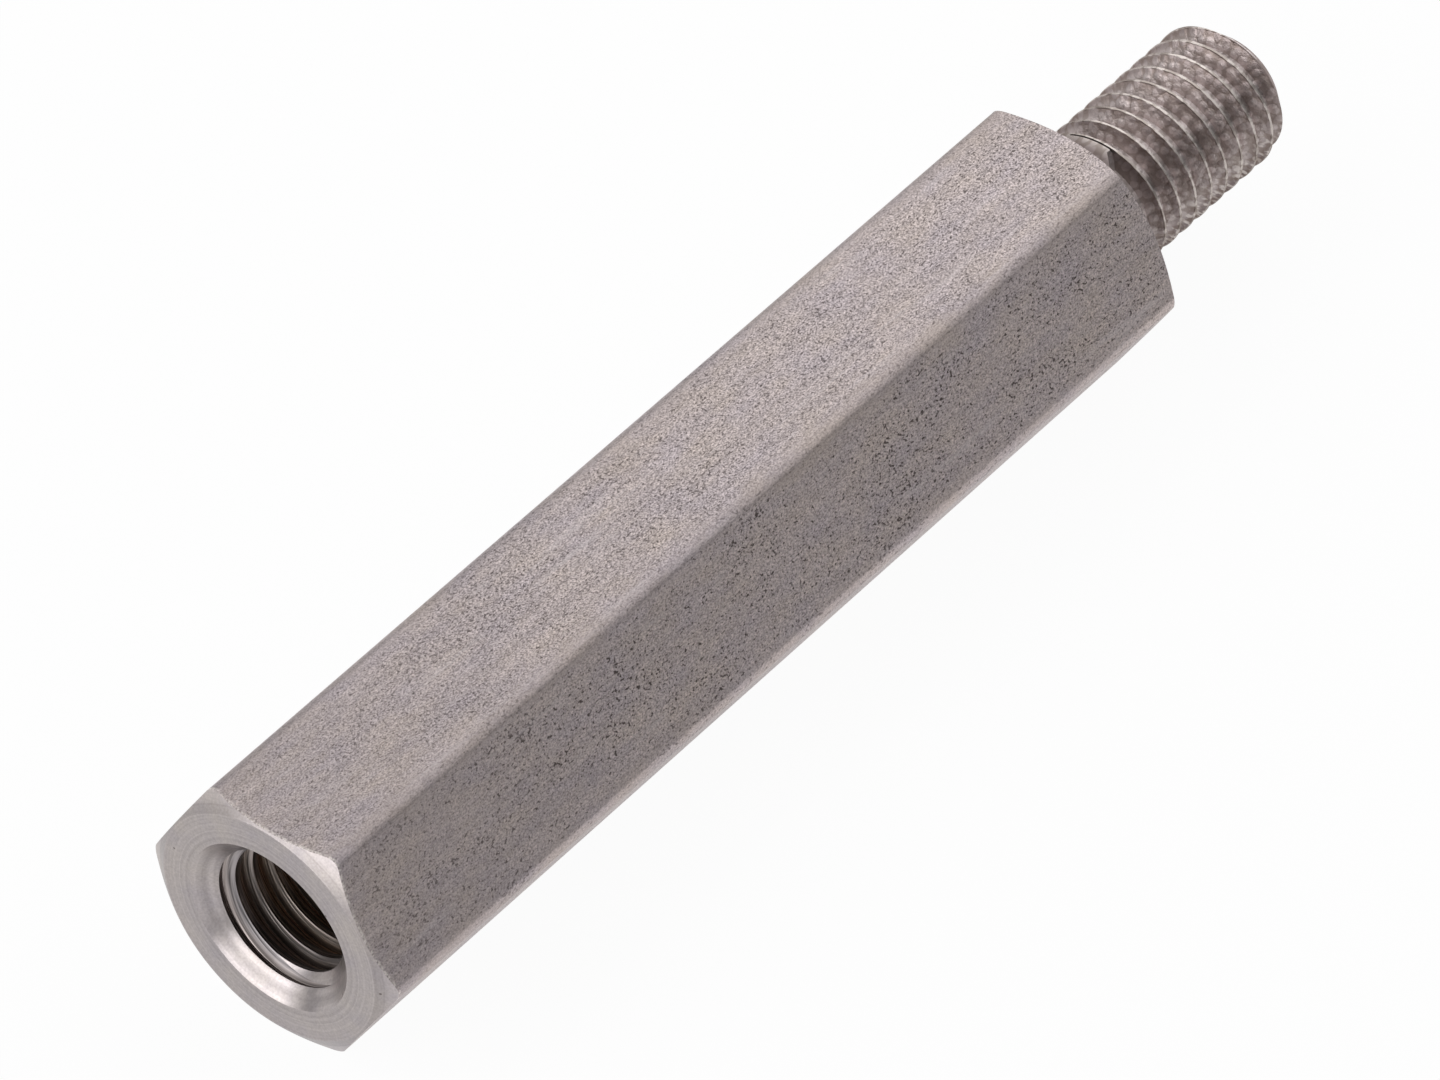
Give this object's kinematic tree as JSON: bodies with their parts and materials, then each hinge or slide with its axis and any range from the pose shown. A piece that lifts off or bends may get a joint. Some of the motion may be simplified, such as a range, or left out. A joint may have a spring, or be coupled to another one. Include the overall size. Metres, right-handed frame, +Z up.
{
  "type": "hex standoff",
  "caption": "Hexagon standoff turned from steel bar, with a countersunk tapped hole in one end and a threaded stud on the other, that holds a board or panel at a set height.",
  "frame": {"origin": "middle of the lying part's length, on the bench under its axis", "axes": "+X along the axis towards the stud, +Z up from the flat that it lies on"},
  "size_m": [0.074, 0.0148, 0.013],
  "materials": {
    "stainless_steel": "drawn bar with a matt, finely pitted skin, and smooth turned ends"
  },
  "bodies": {
    "root": {"hex_standoff": "stainless_steel"}
  },
  "joints": []
}
